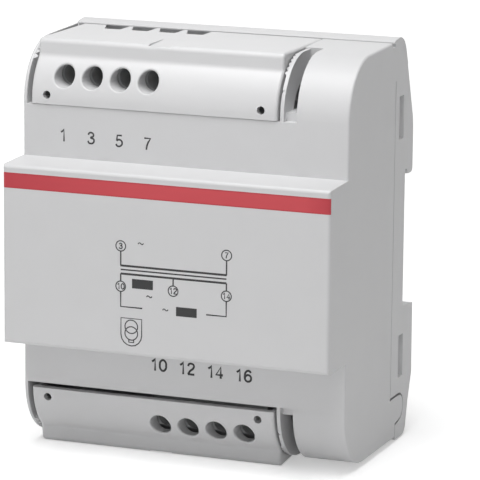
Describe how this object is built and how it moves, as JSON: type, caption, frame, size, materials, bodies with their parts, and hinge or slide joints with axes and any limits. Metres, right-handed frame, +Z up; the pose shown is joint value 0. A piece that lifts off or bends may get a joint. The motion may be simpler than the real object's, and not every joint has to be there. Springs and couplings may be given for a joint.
{
  "type": "doorbell transformer",
  "caption": "Modular doorbell transformer in a stepped grey housing that clips to a rail, with sliding toothed terminal covers and rising clamp terminals.",
  "frame": {"origin": "on the rail's seat plane, at the middle of the 35 mm rail and of the housing's width", "axes": "+X along the rail to the right of the front, +Y back towards the rail, +Z up"},
  "size_m": [0.0874, 0.0649, 0.1065],
  "materials": {
    "housing_plastic": "moulded light grey, fine spark-eroded grain",
    "base_plastic": "moulded light grey, fine grain",
    "cover_plastic": "moulded light grey, smooth satin",
    "latch_plastic": "moulded grey, smooth",
    "block_plastic": "moulded mid grey",
    "core_steel": "rolled silicon steel sheets, varnished",
    "rivet_steel": "zinc plated",
    "former_plastic": "moulded glass-filled, black",
    "copper_wire": "enamelled copper wire",
    "insulation_tape": "polyester film tape",
    "cutout_plastic": "sealed black case",
    "primary_lead_sleeve": "extruded insulation",
    "secondary_lead_sleeve": "extruded insulation",
    "screw_steel": "zinc plated, turned",
    "cage_steel": "zinc plated, folded",
    "bar_brass": "stamped strip, tinned tag"
  },
  "bodies": {
    "enclosure": {"front_housing": "housing_plastic", "rear_base": "base_plastic", "top_terminal_block": "block_plastic", "bottom_terminal_block": "block_plastic", "contact_bar_1": "bar_brass", "contact_bar_3": "bar_brass", "contact_bar_5": "bar_brass", "contact_bar_7": "bar_brass", "contact_bar_10": "bar_brass", "contact_bar_12": "bar_brass", "contact_bar_14": "bar_brass", "contact_bar_16": "bar_brass", "core_e_laminations": "core_steel", "core_i_laminations": "core_steel", "core_rivets": "rivet_steel", "coil_former": "former_plastic", "primary_winding": "copper_wire", "secondary_winding": "copper_wire", "primary_tape": "insulation_tape", "secondary_tape": "insulation_tape", "thermal_cutout": "cutout_plastic", "primary_lead_a": "primary_lead_sleeve", "primary_lead_b": "primary_lead_sleeve", "secondary_lead_a": "secondary_lead_sleeve", "secondary_lead_b": "secondary_lead_sleeve", "secondary_lead_c": "secondary_lead_sleeve"},
    "top_cover": {"top_terminal_cover": "cover_plastic"},
    "bottom_cover": {"bottom_terminal_cover": "cover_plastic"},
    "latch": {"rail_latch": "latch_plastic"},
    "screw_1": {"terminal_screw_1": "screw_steel"},
    "cage_1": {"clamp_cage_1": "cage_steel"},
    "screw_3": {"terminal_screw_3": "screw_steel"},
    "cage_3": {"clamp_cage_3": "cage_steel"},
    "screw_5": {"terminal_screw_5": "screw_steel"},
    "cage_5": {"clamp_cage_5": "cage_steel"},
    "screw_7": {"terminal_screw_7": "screw_steel"},
    "cage_7": {"clamp_cage_7": "cage_steel"},
    "screw_10": {"terminal_screw_10": "screw_steel"},
    "cage_10": {"clamp_cage_10": "cage_steel"},
    "screw_12": {"terminal_screw_12": "screw_steel"},
    "cage_12": {"clamp_cage_12": "cage_steel"},
    "screw_14": {"terminal_screw_14": "screw_steel"},
    "cage_14": {"clamp_cage_14": "cage_steel"},
    "screw_16": {"terminal_screw_16": "screw_steel"},
    "cage_16": {"clamp_cage_16": "cage_steel"}
  },
  "joints": [
    {"name": "top_cover_slide", "type": "hinge", "parent": "enclosure", "child": "top_cover", "pos_m": [0, -0.029, 0.037], "axis": [-1, 0, 0], "range_deg": [0, 4.5]},
    {"name": "bottom_cover_slide", "type": "hinge", "parent": "enclosure", "child": "bottom_cover", "pos_m": [0, -0.029, -0.037], "axis": [1, 0, 0], "range_deg": [-4.5, 0]},
    {"name": "latch_slide", "type": "slide", "parent": "enclosure", "child": "latch", "axis": [0, 0, -1], "range_m": [0, 0.004], "stiffness_N_per_m": 900, "springref_m": -0.001},
    {"name": "screw_turn_1", "type": "hinge", "parent": "enclosure", "child": "screw_1", "pos_m": [-0.0329, -0.027, 0.0434], "axis": [0, 1, 0], "range_deg": [0, 1728.2]},
    {"name": "cage_rise_1", "type": "slide", "parent": "enclosure", "child": "cage_1", "axis": [0, -1, 0], "range_m": [0, 0.0024]},
    {"name": "screw_turn_3", "type": "hinge", "parent": "enclosure", "child": "screw_3", "pos_m": [-0.02528, -0.027, 0.0434], "axis": [0, 1, 0], "range_deg": [0, 1728.2]},
    {"name": "cage_rise_3", "type": "slide", "parent": "enclosure", "child": "cage_3", "axis": [0, -1, 0], "range_m": [0, 0.0024]},
    {"name": "screw_turn_5", "type": "hinge", "parent": "enclosure", "child": "screw_5", "pos_m": [-0.01766, -0.027, 0.0434], "axis": [0, 1, 0], "range_deg": [0, 1728.2]},
    {"name": "cage_rise_5", "type": "slide", "parent": "enclosure", "child": "cage_5", "axis": [0, -1, 0], "range_m": [0, 0.0024]},
    {"name": "screw_turn_7", "type": "hinge", "parent": "enclosure", "child": "screw_7", "pos_m": [-0.01004, -0.027, 0.0434], "axis": [0, 1, 0], "range_deg": [0, 1728.2]},
    {"name": "cage_rise_7", "type": "slide", "parent": "enclosure", "child": "cage_7", "axis": [0, -1, 0], "range_m": [0, 0.0024]},
    {"name": "screw_turn_10", "type": "hinge", "parent": "enclosure", "child": "screw_10", "pos_m": [-0.00656, -0.027, -0.0434], "axis": [0, 1, 0], "range_deg": [0, 1728.2]},
    {"name": "cage_rise_10", "type": "slide", "parent": "enclosure", "child": "cage_10", "axis": [0, -1, 0], "range_m": [0, 0.0024]},
    {"name": "screw_turn_12", "type": "hinge", "parent": "enclosure", "child": "screw_12", "pos_m": [0.00106, -0.027, -0.0434], "axis": [0, 1, 0], "range_deg": [0, 1728.2]},
    {"name": "cage_rise_12", "type": "slide", "parent": "enclosure", "child": "cage_12", "axis": [0, -1, 0], "range_m": [0, 0.0024]},
    {"name": "screw_turn_14", "type": "hinge", "parent": "enclosure", "child": "screw_14", "pos_m": [0.00868, -0.027, -0.0434], "axis": [0, 1, 0], "range_deg": [0, 1728.2]},
    {"name": "cage_rise_14", "type": "slide", "parent": "enclosure", "child": "cage_14", "axis": [0, -1, 0], "range_m": [0, 0.0024]},
    {"name": "screw_turn_16", "type": "hinge", "parent": "enclosure", "child": "screw_16", "pos_m": [0.0163, -0.027, -0.0434], "axis": [0, 1, 0], "range_deg": [0, 1728.2]},
    {"name": "cage_rise_16", "type": "slide", "parent": "enclosure", "child": "cage_16", "axis": [0, -1, 0], "range_m": [0, 0.0024]}
  ],
  "couplings": [
    {"joint": "screw_turn_1", "follows": "cage_rise_1", "rad_per_m": 12566},
    {"joint": "screw_turn_3", "follows": "cage_rise_3", "rad_per_m": 12566},
    {"joint": "screw_turn_5", "follows": "cage_rise_5", "rad_per_m": 12566},
    {"joint": "screw_turn_7", "follows": "cage_rise_7", "rad_per_m": 12566},
    {"joint": "screw_turn_10", "follows": "cage_rise_10", "rad_per_m": 12566},
    {"joint": "screw_turn_12", "follows": "cage_rise_12", "rad_per_m": 12566},
    {"joint": "screw_turn_14", "follows": "cage_rise_14", "rad_per_m": 12566},
    {"joint": "screw_turn_16", "follows": "cage_rise_16", "rad_per_m": 12566}
  ]
}
